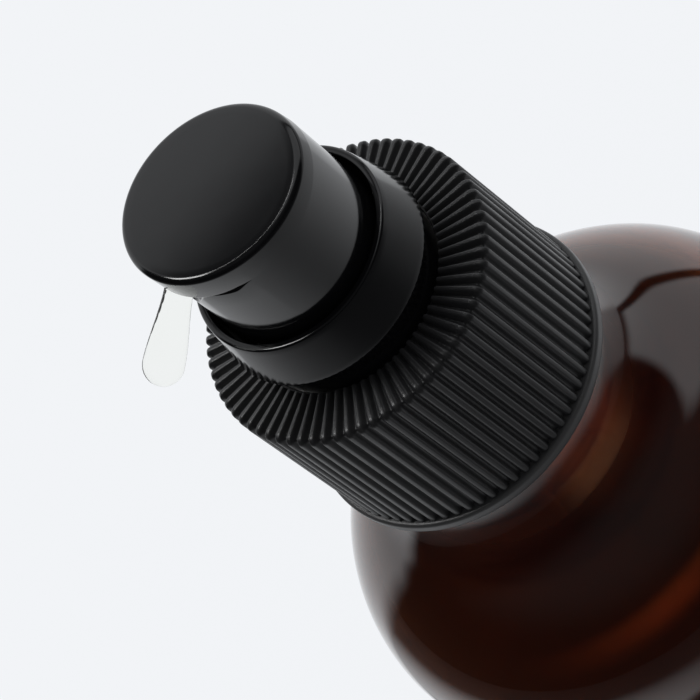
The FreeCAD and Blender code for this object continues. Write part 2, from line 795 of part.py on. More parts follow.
def scoop():
    """Cut away before the nozzle: above a sloping ledge, below the lip and outside a round face."""
    wide = dim.head_top_radius * 4
    block = doc.addObject("Part::Box", "scoop_block")
    for side in ("Length", "Width", "Height"):
        bind(block, side, wide)
    block.Placement.Rotation = FreeCAD.Rotation(FreeCAD.Vector(0, -1, 0), dim.scoop_slope.value)
    bind(block, "Placement.Rotation.Angle", dim.scoop_slope)
    bind(block, "Placement.Base.x", -dim.head_skirt_radius - wide / 2 * cosine(dim.scoop_slope))
    bind(block, "Placement.Base.y", -wide / 2)
    ledge = head_top - dim.scoop_ledge_drop
    bind(block, "Placement.Base.z", ledge - wide / 2 * sine(dim.scoop_slope))
    lip = doc.addObject("Part::Box", "scoop_limit")
    for side in ("Length", "Width", "Height"):
        bind(lip, side, wide)
    bind(lip, "Placement.Base.x", -wide)
    bind(lip, "Placement.Base.y", -wide / 2)
    bind(lip, "Placement.Base.z", head_top - dim.scoop_lip - wide)
    face = doc.addObject("Part::Cylinder", "scoop_face")
    bind(face, "Radius", dim.scoop_round)
    bind(face, "Height", wide * 2)
    bind(face, "Placement.Base.x", dim.scoop_round - scoop_front)
    bind(face, "Placement.Base.z", head_top - wide)
    room = doc.addObject("Part::Common", "scoop_room")
    room.Base = block
    room.Tool = lip
    cut = doc.addObject("Part::Cut", "scoop_cut")
    cut.Base = room
    cut.Tool = face
    return cut


def make_core():
    body = sub_part("actuator_core")
    outer = dim.head_bore_radius - dim.assembly_clearance
    top = cavity_top - dim.assembly_clearance
    step = top - dim.core_depth
    socket = dim.stem_radius + dim.running_clearance
    roof = stem_top + dim.running_clearance
    turned(body, [
        (ZERO, top),
        (ZERO, nozzle_level + dim.channel_radius),
        (dim.channel_radius, nozzle_level),
        (dim.channel_radius, roof),
        (socket, roof),
        (socket, hub_bottom),
        (dim.hub_radius, hub_bottom),
        (dim.hub_radius, step),
        (outer, step),
        (outer, top),
    ])
    cross_bore(body, dim.channel_radius, nozzle_level, outer * 2)
    cross_bore(body, nozzle_hole, nozzle_level, outer * 2, nozzle_back - dim.assembly_clearance)


LEVEL = as_size(90)


def laid(body, across, level, angle):
    """Turn a body made along +Z down towards the nozzle side and put its foot in place."""
    body.Placement.Rotation = FreeCAD.Rotation(FreeCAD.Vector(0, -1, 0), angle.value)
    bind(body, "Placement.Rotation.Angle", angle)
    bind(body, "Placement.Base.x", -across)
    bind(body, "Placement.Base.z", level)
    doc.recompute()


def make_nozzle():
    body = sub_part("nozzle_insert")
    turned(body, [
        (dim.nozzle_bore_radius, ZERO),
        (dim.nozzle_radius, ZERO),
        (dim.nozzle_radius, dim.nozzle_length),
        (dim.nozzle_bore_radius, dim.nozzle_length),
    ])
    laid(body, nozzle_back, nozzle_level, LEVEL)


def make_drop():
    """A stretched bead: it widens from its root and ends in a half round."""
    body = sub_part("oil_drop")
    end = dim.drop_end_radius
    swell = dim.drop_length - end
    turned(body, [
        (ZERO, ZERO),
        (dim.drop_root_radius, ZERO),
        (end, swell, -end),
        (ZERO, dim.drop_length),
    ])
    laid(body, scoop_front + dim.drop_root_gap, nozzle_level, LEVEL + dim.drop_fall)


def check_and_write():
    """Stop at a failed feature or a bad solid, then write each sub-part under its label."""
    doc.recompute()
    for item in doc.Objects:
        if "Invalid" in item.State or "Error" in item.State:
            raise RuntimeError("%s failed: %s" % (item.Label, item.State))
    os.makedirs("parts", exist_ok=True)
    for item in SUBPARTS:
        shape = item.Shape
        if shape.isNull() or not shape.isValid() or len(shape.Solids) != 1:
            raise RuntimeError("%s is not one sound solid" % item.Label)
    for item in SUBPARTS:
        item.Shape.exportStep("parts/%s.step" % item.Label)
        box = item.Shape.BoundBox
        print("%-17s %9.1f mm3  z %7.2f to %7.2f" % (item.Label, item.Shape.Volume, box.ZMin, box.ZMax))


make_bottle()
make_closure()
make_gasket()
make_housing()
make_retainer()
make_collar()
make_cage()
make_ball()
make_dip_tube()
make_stem()
make_post()
make_piston()
make_spring()
make_shell()
make_core()
make_nozzle()
make_drop()
check_and_write()
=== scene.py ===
# %% [markdown]
# # A pump oil bottle
# An amber glass bottle carries a ribbed screw closure, a gloss collar and a small pump head with a drop of oil at
# its nozzle. The solids already hold every piece at its real size, so this file only dresses them: it makes finer
# surfaces for the pieces that show, and a finish for every piece. The pieces' sizes are typed in millimetres, and MM
# takes them to Blender's metres.

import math

import bmesh
import bpy
import numpy as np
from mathutils import Matrix, Vector


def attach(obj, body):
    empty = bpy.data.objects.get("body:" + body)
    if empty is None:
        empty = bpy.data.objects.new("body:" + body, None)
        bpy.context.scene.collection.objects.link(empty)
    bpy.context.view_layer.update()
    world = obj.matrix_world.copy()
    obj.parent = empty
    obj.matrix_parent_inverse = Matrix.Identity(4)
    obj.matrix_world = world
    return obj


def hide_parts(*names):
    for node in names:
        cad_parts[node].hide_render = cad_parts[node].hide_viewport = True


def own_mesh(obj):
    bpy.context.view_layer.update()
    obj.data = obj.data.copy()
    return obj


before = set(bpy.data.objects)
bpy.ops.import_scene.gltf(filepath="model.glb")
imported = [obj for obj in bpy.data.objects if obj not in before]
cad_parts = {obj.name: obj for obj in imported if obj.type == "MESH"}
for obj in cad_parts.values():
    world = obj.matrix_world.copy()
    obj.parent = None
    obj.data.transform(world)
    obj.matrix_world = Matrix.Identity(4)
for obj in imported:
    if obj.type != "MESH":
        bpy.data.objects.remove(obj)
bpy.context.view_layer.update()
MM = 0.001
MICRON = 0.001 * MM
print("solids:", ", ".join(sorted(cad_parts)))


# %% [markdown]
# ## Camera
# The photo looks steeply down on the pump with a long lens, and the camera is rolled until the bottle lies slanted
# in the frame. The angles and the distance were fitted to the closure's edges and to the collar. A camera in Blender
# looks along its own -Z, so one matrix that tips it up and rolls it, and one point on its line of sight, place it.

# %% Camera
PHOTO_PIXELS = 700
FOCAL_PIXELS = 4500
SENSOR = 36.0
ELEVATION = 46.6
ROLL = -53.7
SIGHT_POINT = Vector((-3.706, -2.401, 114.38)) * MM
SIGHT_DISTANCE = 371.35 * MM


def photo_camera():
    """Tip the camera down by the elevation, roll it about its own axis, and step back from the sight point."""
    lens = bpy.data.cameras.new("photo_camera")
    lens.sensor_width = SENSOR
    lens.lens = SENSOR * FOCAL_PIXELS / PHOTO_PIXELS
    camera = bpy.data.objects.new("photo_camera", lens)
    bpy.context.scene.collection.objects.link(camera)
    tip = Matrix.Rotation(math.radians(90 - ELEVATION), 4, "X")
    turn = tip @ Matrix.Rotation(math.radians(ROLL), 4, "Z")
    stand = SIGHT_POINT + turn.to_3x3() @ Vector((0, 0, SIGHT_DISTANCE))
    camera.matrix_world = Matrix.Translation(stand) @ turn
    return camera


bpy.context.scene.camera = photo_camera()
bpy.context.scene.view_settings.view_transform = "Standard"
print("camera at", [round(value, 4) for value in bpy.context.scene.camera.location])


# %% [markdown]
# ## Shader arithmetic
# A finish is a small calculation: a noise is scaled, added to a roughness, or used to mix two colours. Drawn as
# nodes that takes a screen, so one small class stands for an output socket. Python's operators on it add Math nodes,
# and one method adds any other node.

# %% Wires
class Wire:
    """An output socket in a node tree. Arithmetic on it adds Math nodes."""

    # A Mix node has sockets for each kind of data. These are the ones for colours.
    MIX_FACTOR, MIX_FIRST, MIX_SECOND, MIX_RESULT = 0, 6, 7, 2

    def __init__(self, tree, socket=None):
        self.tree = tree
        self.socket = socket

    def node(self, kind, settings=None, inputs=None, output=0):
        """Add a node, set its settings, then give each input a number, a colour or another wire."""
        made = self.tree.nodes.new(kind)
        for name, value in (settings or {}).items():
            setattr(made, name, value)
        for name, value in (inputs or {}).items():
            if isinstance(value, Wire):
                self.tree.links.new(value.socket, made.inputs[name])
            else:
                made.inputs[name].default_value = value
        return Wire(self.tree, made.outputs[output] if made.outputs else None)

    def other(self, output):
        """Another output of the same node."""
        return Wire(self.tree, self.socket.node.outputs[output])

    def parts(self):
        """The X, Y and Z of a wire that carries a vector."""
        x = self.node("ShaderNodeSeparateXYZ", None, {"Vector": self})
        return x, x.other("Y"), x.other("Z")

    def maths(self, operation, first, second):
        """One Math node on two values."""
        return self.node("ShaderNodeMath", {"operation": operation}, {0: first, 1: second})

    def __add__(self, value):
        return self.maths("ADD", self, value)

    def __sub__(self, value):
        return self.maths("SUBTRACT", self, value)

    def __rsub__(self, value):
        return self.maths("SUBTRACT", value, self)

    def __mul__(self, value):
        return self.maths("MULTIPLY", self, value)

    def __truediv__(self, value):
        return self.maths("DIVIDE", self, value)

    def __pow__(self, value):
        return self.maths("POWER", self, value)

    __radd__ = __add__
    __rmul__ = __mul__

    def larger(self, value):
        """The larger of this and another value."""
        return self.maths("MAXIMUM", self, value)

    def step(self, start, end):
        """0 before start and 1 after end, with a smooth way between. Start may lie above end."""
        inputs = {"Value": self, "From Min": start, "From Max": end}
        return self.node("ShaderNodeMapRange", {"interpolation_type": "SMOOTHSTEP"}, inputs)

    def between(self, low, high):
        """Mix two colours, or wires that carry them, by this value of 0 to 1."""
        first, second = (end if isinstance(end, Wire) else (*end, 1) for end in (low, high))
        inputs = {self.MIX_FACTOR: self, self.MIX_FIRST: first, self.MIX_SECOND: second}
        return self.node("ShaderNodeMix", {"data_type": "RGBA"}, inputs, self.MIX_RESULT)

    def noise(self, size, detail=3.0):
        """Soft noise on this place, 0 to 1, with features of about that size in metres."""
        return self.node("ShaderNodeTexNoise", None, {"Vector": self, "Scale": 1 / size, "Detail": detail}, "Fac")


print("wires ready")


# %% [markdown]
# ## Studio
# The photo's background is an even, very pale grey with no horizon, and the black plastic shows what else stood round
# the object: a bright backdrop behind it and darkness on the camera's side. A lamp for each of them would light the
# object too much, so the light itself stays plain and soft. The camera, and the rays that pass through glass or oil,
# see the pale backdrop. Only the rays that a surface mirrors see the dark room, as a pattern on the direction, and
# Light Path tells which they are. It calls a ray that bends through glass glossy too, so those are taken out. In the
# pattern, each pair of numbers is where a soft edge starts and where it ends.

# %% The room that the gloss sees
TINY = 1e-6
RIGHT_HALF = (0.0, 0.02)
LEFT_END, RIGHT_END, RIGHT_SLANT = (0.70, 0.80), (0.53, 0.57), 0.22
TOP_SLOPE, TOP_FADE = (1.02, 0.88), (0.97, 0.57)
CARD_GAP, CARD_FOOT, CARD_FRONT, CARD_SIDE = (0.50, 0.46), (-0.05, 0.10), (-0.10, 0.05), (0.15, 0.35)
CARD_LEVEL = 0.82


def backdrop(x, y, z):
    """The bright backdrop behind the object, 0 to 1, in a direction x, y, z of length 1.

    On the left it ends about 40 degrees from straight behind. On the right it ends at a slanted plane, and past a
    thin dark gap a card goes on, a little dimmer, from the horizon upwards. The backdrop fades towards its top, which
    comes lower on the left.
    """
    behind = y / (x * x + y * y + TINY) ** 0.5
    slanted = y - z * RIGHT_SLANT
    right = x.step(*RIGHT_HALF)
    sheet = behind.step(*LEFT_END) * (1 - right) + slanted.step(*RIGHT_END) * right
    top = (z - x).step(*TOP_SLOPE) * z.step(*TOP_FADE)
    card = right * slanted.step(*CARD_GAP) * z.step(*CARD_FOOT) * y.step(*CARD_FRONT) * x.step(*CARD_SIDE)
    return (sheet * top).larger(card * CARD_LEVEL)


def mirror_rays(rays):
    """1 for the rays of a Light Path node that a surface mirrors: glossy, and not through glass or oil."""
    return rays.other("Is Glossy Ray") * (1 - rays.other("Is Transmission Ray"))


print("the card is", CARD_LEVEL, "as bright as the backdrop")


# %% World
PALE = (0.896, 0.913, 0.939)
BLACK = (0.0, 0.0, 0.0)
AMBIENT = (0.40, 0.40, 0.40)
DARK_SIDE = 0.014
OVERHEAD, OVERHEAD_START = 0.06, (0.50, 0.95)


def studio_world():
    """Plain light for the surfaces, and for mirror rays a dark room with a bright backdrop."""
    world = bpy.data.worlds.new("studio")
    world.use_nodes = True
    world.node_tree.nodes.clear()
    sky = Wire(world.node_tree)
    x, y, z = sky.node("ShaderNodeTexCoord", output="Generated").parts()
    seen = backdrop(x, y, z) * (1 - DARK_SIDE) + DARK_SIDE + z.step(*OVERHEAD_START) * OVERHEAD
    rays = sky.node("ShaderNodeLightPath", output="Is Diffuse Ray")
    light = rays.between(PALE, AMBIENT)
    colour = mirror_rays(rays).between(light, seen.between(BLACK, PALE))
    background = sky.node("ShaderNodeBackground", None, {"Color": colour})
    sky.node("ShaderNodeOutputWorld", None, {"Surface": background})
    return world


bpy.context.scene.world = studio_world()
print("world:", bpy.context.scene.world.name)


# %% [markdown]
# The floor is a plain pale sheet. Most of what the camera sees of it is its own even colour, so that it stays the
# background's grey, and the rest is ordinary diffuse paint, which keeps the object's shadow. Mirror rays see it as a
# table with black cards on it: bright in a fan that goes on from the backdrop, bright beside the object but fading
# further out, dim on the right, and dark in front.

# %% What the gloss sees of the floor
FAN_RIGHT_END = (0.45, 0.60)
RING_START, RING_WIDER, RING_FADE = (0.098, 0.118), 0.035, (0.30, 0.10)
RING_FRONT, RING_FRONT_END = 0.40, (-0.26, -0.14)
DIM, DIM_SIDE, DIM_FRONT = 0.4, (0.02, 0.12), (-0.16, -0.04)


def table_pattern(x, y):
    """How bright the floor looks to mirror rays, 0 to 1, at x and y in metres.

    The largest of three: a fan about the direction straight behind, a ring round the object that starts later and
    is brighter the more a place lies sideways, and a dim area on the right.
    """
    away = (x * x + y * y + TINY) ** 0.5
    behind = y / away
    sideways = x * x / (away * away)
    right = x.step(*RIGHT_HALF)
    fan = behind.step(*LEFT_END) * (1 - right) + behind.step(*FAN_RIGHT_END) * right
    ring = (away + sideways * RING_WIDER).step(*RING_START) * away.step(*RING_FADE)
    ring = ring * (RING_FRONT + sideways * (1 - RING_FRONT)) * y.step(*RING_FRONT_END)
    dim = x.step(*DIM_SIDE) * y.step(*DIM_FRONT) * DIM
    return fan.larger(ring).larger(dim)


print("the ring starts at", RING_START[0], "m")


# %% Floor
FLOOR_HALF = 1.5
FLOOR_GLOW = 0.93
FLOOR_SHADE, FLOOR_MOTTLE = (0.78, 0.79, 0.81), 50 * MM


def new_object(name, data):
    """Put a mesh or a lamp into the scene as an object."""
    made = bpy.data.objects.new(name, data)
    bpy.context.scene.collection.objects.link(made)
    return made


def floor_paint():
    """Mix diffuse paint with the background's own glow, by whether the ray is one that shows the background."""
    paint = bpy.data.materials.new("floor_paint")
    paint.use_nodes = True
    paint.node_tree.nodes.clear()
    floor = Wire(paint.node_tree)
    place = floor.node("ShaderNodeTexCoord", output="Object")
    x, y, _ = place.parts()
    bright = table_pattern(x, y) * (1 - DARK_SIDE) + DARK_SIDE
    mottle = place.noise(FLOOR_MOTTLE)
    diffuse = floor.node("ShaderNodeBsdfDiffuse", None, {"Color": mottle.between(FLOOR_SHADE, PALE)})
    rays = floor.node("ShaderNodeLightPath", output="Is Glossy Ray")
    darkened = (1 - bright) * mirror_rays(rays)
    glow = floor.node("ShaderNodeEmission", None, {"Color": darkened.between(PALE, BLACK)})
    shown = rays.larger(rays.other("Is Camera Ray")).larger(rays.other("Is Transmission Ray"))
    mixed = floor.node("ShaderNodeMixShader", None, {0: shown * FLOOR_GLOW, 1: diffuse, 2: glow})
    floor.node("ShaderNodeOutputMaterial", None, {"Surface": mixed})
    return paint


def floor_sheet():
    """A square on z = 0: x and y are both a parameter from -1 to 1 times half the width."""
    side = np.array([-1.0, 1.0]) * FLOOR_HALF
    x, y = np.meshgrid(side, side)
    mesh = bpy.data.meshes.new("floor")
    mesh.from_pydata(np.stack([x, y, 0 * x], -1).reshape(-1, 3).tolist(), [], [(0, 1, 3, 2)])
    mesh.materials.append(floor_paint())
    return new_object("floor", mesh)


floor_sheet()
print("floor is", 2 * FLOOR_HALF, "m wide")


# %% [markdown]
# Three soft lamps model the ribs. The first stands high on the left, a little behind the pump, where the bottle's
# shoulder doesn't mirror it into the camera. The second fills the right and is kept out of the reflections. The third
# is a long, thin strip high behind the pump. It draws the thin bright lines on the head's edge and the collar's rim.

# %% Lamps
def soft_lamp(name, toward, distance, size, power, thin=None):
    """An area lamp that far from the pump in that direction, in metres, facing it: a square, or a thin strip."""
    lamp = bpy.data.lights.new(name, "AREA")
    lamp.size = size
    if thin:
        lamp.shape = "RECTANGLE"
        lamp.size_y = thin
    lamp.energy = power
    stand = new_object(name, lamp)
    way = Vector(toward).normalized()
    stand.location = SIGHT_POINT + way * distance
    stand.rotation_euler = way.to_track_quat("Z", "Y").to_euler()
    return stand


high_lamp = soft_lamp("high_lamp", toward=(-0.30, 0.40, 0.866), distance=0.9, size=0.26, power=2.8)
fill_lamp = soft_lamp("fill_lamp", toward=(0.70, -0.10, 0.75), distance=1.0, size=0.60, power=2.5)
fill_lamp.visible_glossy = False
strip_lamp = soft_lamp("strip_lamp", toward=(0.05, 0.45, 0.89), distance=0.9, size=0.70, power=0.8, thin=0.03)
for lamp in (high_lamp, fill_lamp, strip_lamp):
    lamp.visible_transmission = False
print("lamps:", high_lamp.name, fill_lamp.name, strip_lamp.name)


# %% [markdown]
# ## Finishes
# Every finish is a Principled shader whose colour, roughness and fine relief come from noise on Object coordinates,
# in metres. The helper below takes the values that change over the surface as wires, and the even ones as plain
# numbers on the shader's own sockets.

# %% A finish from its parts
def finish(name, recipe, **even):
    """Make a material. The recipe gets the place on the piece and returns the wires for the sockets that vary."""
    made = bpy.data.materials.new(f"{name}_finish")
    made.use_nodes = True
    made.node_tree.nodes.clear()
    start = Wire(made.node_tree)
    place = start.node("ShaderNodeTexCoord", output="Object")
    inputs = {socket.replace("_", " "): value for socket, value in even.items()}
    inputs.update(recipe(place))
    shader = start.node("ShaderNodeBsdfPrincipled", None, inputs)
    start.node("ShaderNodeOutputMaterial", None, {"Surface": shader})
    return made


def relief(height, depth):
    """Turn a height of 0 to 1 into a bumped normal, with that depth in metres."""
    return height.node("ShaderNodeBump", None, {"Height": height, "Distance": depth, "Strength": 1.0}, "Normal")


print("finish maker ready")


# %% [markdown]
# The bottle is amber glass, so dark that only a red-brown glow comes through. Glass takes its colour from its depth,
# but the export keeps the Principled base colour, which tints each time light enters or leaves, so a dark colour
# there does it. The glass is thinner and lighter in random places. On top of that the colour has painted glow: a
# painted streak of light round the shoulder, where light comes through the far side, and a painted patch of glow at
# the neck, where light through the glass falls on the pump's white plug. A film of oil makes the inner face rougher
# than the outer one. The dark tint would swallow the inner face's own reflection, so a clear coat stands for it.
# Blown glass is never quite true: long, shallow waves bend its reflections.

# %% Amber glass
BODY_RADIUS, SHOULDER_ROUND, SHOULDER_START = 24.5, 14.6, 74.5
BETWEEN_FACES = (14.0 * MM, 13.2 * MM)
# Where the painted streak of glow lies on the shoulder, and where the painted glow at the neck lies.
GLOW_STREAK_START, GLOW_STREAK_END, GLOW_STREAK_SIDE = (0.56, 0.74), (0.98, 0.80), (-18 * MM, -4 * MM)
NECK_START, NECK_GLOW_START, NECK_GLOW_END = (88 * MM, 92 * MM), (-5 * MM, 0.0), (9 * MM, 4 * MM)
UNEVEN_START, UNEVEN_SHARE, DUST_EDGE = 0.35, 0.35, (0.62, 0.80)
# The thin colour serves both thinner glass and the painted streak of glow; the neck colour is painted glow.
AMBER_THICK, AMBER_THIN_AND_GLOW, AMBER_NECK_GLOW = (0.074, 0.021, 0.008), (0.440, 0.105, 0.028), (0.72, 0.30, 0.13)


def amber_recipe(place):
    """Amber by the distance from the centre of the shoulder's round, and by the tilt, up over out, from there, where
    a painted streak of glow lies.
    """
    x, y, z = place.parts()
    out = ((x * x + y * y) ** 0.5 - (BODY_RADIUS - SHOULDER_ROUND) * MM).larger(0.1 * MM)
    over = (z - SHOULDER_START * MM).larger(0.0)
    inside = ((out * out + over * over) ** 0.5).step(*BETWEEN_FACES)
    tilt = over / out
    # Painted light: a streak of glow standing for light that comes through the far side.
    painted_streak_glow = tilt.step(*GLOW_STREAK_START) * tilt.step(*GLOW_STREAK_END) * x.step(*GLOW_STREAK_SIDE)
    neck = z.step(*NECK_START)
    # Painted light: a patch of glow standing for light through the glass on the pump's white plug.
    painted_neck_glow = neck * x.step(*NECK_GLOW_START) * x.step(*NECK_GLOW_END)
    # thin holds random thinner glass plus the painted streak of glow.
    thin = (place.noise(30 * MM, 2.0) - UNEVEN_START).larger(0.0) * UNEVEN_SHARE + painted_streak_glow
    dust = place.noise(0.8 * MM, 4.0).step(*DUST_EDGE)
    waves = place.noise(12 * MM, 1.0)
    return {
        "Base Color": painted_neck_glow.between(thin.between(AMBER_THICK, AMBER_THIN_AND_GLOW), AMBER_NECK_GLOW),
        "Roughness": 0.05 + dust * 0.05 + inside * 0.25 + neck * 0.10,
        "Normal": relief(waves, 100 * MICRON),
    }


amber_glass = finish(
    "amber_glass", amber_recipe, Transmission_Weight=1.0, IOR=1.52, Coat_Weight=0.6, Coat_Roughness=0.04,
)
print("made", amber_glass.name)


# %% [markdown]
# The collar and the head are moulded in gloss black plastic. It is a very dark grey, never black, with a polish that
# varies a little where it has been handled, and a few fine dust specks.

# %% Gloss black
SPECK_EDGE = (0.74, 0.82)


def gloss_recipe(place):
    """Handling changes colour and polish, specks are dull, and the plastic's flow leaves a faint relief."""
    handling = place.noise(6 * MM)
    specks = place.noise(0.35 * MM, 2.0).step(*SPECK_EDGE)
    flow = place.noise(4 * MM, 1.0)
    return {
        "Base Color": handling.between((0.0010, 0.0010, 0.0012), (0.0022, 0.0022, 0.0025)),
        "Roughness": 0.09 + handling * 0.06 + specks * 0.15,
        "Normal": relief(flow, 6 * MICRON),
    }


gloss_black = finish("gloss_black", gloss_recipe, IOR=1.5)
print("made", gloss_black.name)


# %% [markdown]
# The closure comes from a mould with a fine spark-eroded grain, so it is satin: the same black, with a rough surface
# that greys where light falls on it. Finger grease makes patches of it a little smoother. The plain band at its foot
# stands proud of the ribs, and its colour is painted paler: painted light that evens out the shade on its top.

# %% Satin black
BAND_TOP = 100.2
BAND_LIGHT_BLUR = 0.2
# A paler colour painted on the band, as painted light.
BAND_PAINTED_LIGHT = (0.034, 0.034, 0.035)


def satin_recipe(place):
    """Grease changes colour and polish, the band gets painted light below its own level, and the mould's grain shows.
    """
    z = place.parts()[2]
    grain = place.noise(0.09 * MM, 2.0)
    grease = place.noise(5 * MM)
    # Painted light: the band below its top is painted paler than the ribs.
    painted_band_light = z.step((BAND_TOP + BAND_LIGHT_BLUR) * MM, (BAND_TOP - BAND_LIGHT_BLUR) * MM)
    plastic = grease.between((0.0070, 0.0070, 0.0076), (0.0115, 0.0115, 0.0122))
    return {
        "Base Color": painted_band_light.between(plastic, BAND_PAINTED_LIGHT),
        "Roughness": 0.30 + grease * 0.14,
        "Normal": relief(grain, 10 * MICRON),
    }


satin_black = finish("satin_black", satin_recipe, IOR=1.5)
print("made", satin_black.name)


# %% [markdown]
# Inside, the pump is moulded in natural polypropylene, a milky white, with a soft white seal and piston, a stainless
# spring with drawing marks on its wire, and a polished steel ball. They show when the pieces are taken apart.

# %% Pump finishes
def natural_recipe(place):
    """Milky clouds in the plastic, and a fine mould grain."""
    cloud = place.noise(3 * MM)
    grain = place.noise(0.2 * MM, 2.0)
    return {
        "Base Color": cloud.between((0.68, 0.69, 0.68), (0.80, 0.80, 0.79)),
        "Roughness": 0.34 + cloud * 0.12,
        "Normal": relief(grain, 8 * MICRON),
    }


def seal_recipe(place):
    """The same clouds, duller, on a coarser skin."""
    cloud = place.noise(2 * MM)
    grain = place.noise(0.15 * MM)
    return {
        "Base Color": cloud.between((0.60, 0.60, 0.58), (0.70, 0.70, 0.68)),
        "Roughness": 0.55 + cloud * 0.15,
        "Normal": relief(grain, 15 * MICRON),
    }


def wire_recipe(place):
    """A trace of tarnish, and fine drawing marks that change the polish."""
    tarnish = place.noise(2 * MM)
    drawing = place.noise(0.06 * MM, 1.0)
    return {
        "Base Color": tarnish.between((0.48, 0.47, 0.45), (0.62, 0.61, 0.60)),
        "Roughness": 0.20 + drawing * 0.16,
        "Normal": relief(drawing, 4 * MICRON),
    }


def ball_recipe(place):
    """One faint lapping pattern for colour, polish and relief."""
    lapping = place.noise(0.3 * MM)
    return {
        "Base Color": lapping.between((0.66, 0.66, 0.67), (0.74, 0.74, 0.75)),
        "Roughness": 0.06 + lapping * 0.06,
        "Normal": relief(lapping, 1 * MICRON),
    }


natural_plastic = finish("natural_plastic", natural_recipe, IOR=1.49)
soft_seal = finish("soft_seal", seal_recipe, IOR=1.45)
spring_steel = finish("spring_steel", wire_recipe, Metallic=1.0)
ball_steel = finish("ball_steel", ball_recipe, Metallic=1.0)
print("made", natural_plastic.name, soft_seal.name, spring_steel.name, ball_steel.name)


# %% [markdown]
# The oil is clear with the faintest straw colour. In the photo the drop hardly bends what is behind it, so its index
# is set far below a real oil's, and only a thin line at its edge shows against the pale background.

# %% Clear oil
def oil_recipe(place):
    """A trace of straw colour in clouds, and a slow swirl on the surface."""
    cloud = place.noise(3 * MM, 2.0)
    swirl = place.noise(4 * MM, 1.0)
    return {
        "Base Color": cloud.between((0.955, 0.965, 0.925), (0.985, 0.985, 0.960)),
        "Roughness": 0.01 + cloud * 0.02,
        "Normal": relief(swirl, 10 * MICRON),
    }


clear_oil = finish("clear_oil", oil_recipe, Transmission_Weight=1.0, IOR=1.08)
FINISHES = dict(
    amber_glass=amber_glass, gloss_black=gloss_black, satin_black=satin_black, natural_plastic=natural_plastic,
    soft_seal=soft_seal, spring_steel=spring_steel, ball_steel=ball_steel, clear_oil=clear_oil,
)
print(len(FINISHES), "finishes")


# %% [markdown]
# ## Surfaces from grids
# Nearly every piece here is turned: an outline carried round an axis. The outline is a list of corners, each with how
# far out it lies, its level, the radius of its round and the number of points on that round. A corner may have a
# different place at each angle, which is how the head gets its slanted top and its scoop. The grid of points becomes
# a mesh, the seam and the poles are closed by merging doubles, and edges that turn sharply stay crisp.

# %% Outlines with round corners
LARGEST_SHARE = 0.49


def plain(across, up):
    """A point of an outline that is not rounded."""
    return across, up, 0.0, 1


def straight(start, end, count):
    """Plain points along a straight line, without its ends."""
    share = np.linspace(0, 1, count + 2)[1:-1]
    return [plain(start[0] + (end[0] - start[0]) * s, start[1] + (end[1] - start[1]) * s) for s in share]


def rounded(corners, columns, closed):
    """Round the corners of an outline, for every column at once, and return its (across, up) as rows by columns.

    A round meets its two sides at the same distance from the corner, the radius over the tangent of half the angle
    there, but it takes less than half of either side. Between them it is the weighted mean of the two ends and the
    corner, with weights (1-t)^2, t^2 and 2t(1-t) times the sine of half the angle, which is a true arc.
    """
    spots = np.array([[np.broadcast_to(value, columns) for value in corner[:2]] for corner in corners], float)
    radii = np.array([corner[2] for corner in corners])[:, None]
    if not closed:
        radii[[0, -1]] = 0
    sides = [np.roll(spots, shift, axis=0) - spots for shift in (1, -1)]
    lengths = [np.maximum(np.linalg.norm(side, axis=1), TINY) for side in sides]
    units = [side / length[:, None] for side, length in zip(sides, lengths)]
    half = np.arccos(np.clip((units[0] * units[1]).sum(1), -1, 1)) / 2
    reach = np.minimum(radii / np.tan(np.maximum(half, TINY)), LARGEST_SHARE * np.minimum(*lengths))
    ends = [spots + unit * reach[:, None] for unit in units]
    rows = []
    for index, corner in enumerate(corners):
        t = np.linspace(0, 1, corner[3])[:, None, None] if corner[3] > 1 else np.full((1, 1, 1), 0.5)
        middle = 2 * t * (1 - t) * np.sin(half[index])
        total = (1 - t) ** 2 + middle + t ** 2
        rows.append(((1 - t) ** 2 * ends[0][index] + middle * spots[index] + t ** 2 * ends[1][index]) / total)
    outline = np.concatenate(rows)
    return outline[:, 0], outline[:, 1]


square = [(1, 0, 0.2, 3), (1, 1, 0.2, 3), (0, 1, 0.2, 3), (0, 0, 0.2, 3)]
print("a rounded square has", len(rounded(square, 1, True)[0]), "points")


# %% Turning an outline, and making the mesh
WELD, SLIVER = 1e-7, 1e-8


def angles(columns):
    """The angle of each column, evenly round the circle."""
    return np.arange(columns) * (2 * np.pi / columns)


def turned(across, up):
    """Carry an outline round Z: x is across times the cosine of the column's angle, y across times its sine."""
    around = angles(across.shape[1])
    return np.stack([across * np.cos(around), across * np.sin(around), up], -1)


def skin(name, grid, closed_rows, crisp=38.0):
    """Cover a grid of points, in millimetres, with quads. The columns close on themselves, the rows if asked."""
    rows, columns = grid.shape[:2]
    number = np.arange(rows * columns).reshape(rows, columns)
    low = number if closed_rows else number[:-1]
    high = np.roll(number, -1, axis=0) if closed_rows else number[1:]
    quads = np.stack([low, np.roll(low, -1, axis=1), np.roll(high, -1, axis=1), high], -1).reshape(-1, 4)
    mesh = bpy.data.meshes.new(name)
    mesh.from_pydata((grid.reshape(-1, 3) * MM).tolist(), [], quads.tolist())
    welded = bmesh.new()
    welded.from_mesh(mesh)
    bmesh.ops.remove_doubles(welded, verts=welded.verts, dist=WELD)
    bmesh.ops.dissolve_degenerate(welded, edges=welded.edges, dist=SLIVER)
    bmesh.ops.recalc_face_normals(welded, faces=welded.faces)
    welded.to_mesh(mesh)
    welded.free()
    mesh.shade_smooth()
    mesh.set_sharp_from_angle(angle=math.radians(crisp))
    return new_object(name, mesh)


def dress(piece, material, body, node):
    """Give a new piece its finish, and let it stand for its solid on that solid's body."""
    piece.data.materials.clear()
    piece.data.materials.append(FINISHES[material])
    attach(piece, body)
    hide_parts(node)
    print(piece.name, "has", len(piece.data.polygons), "faces")


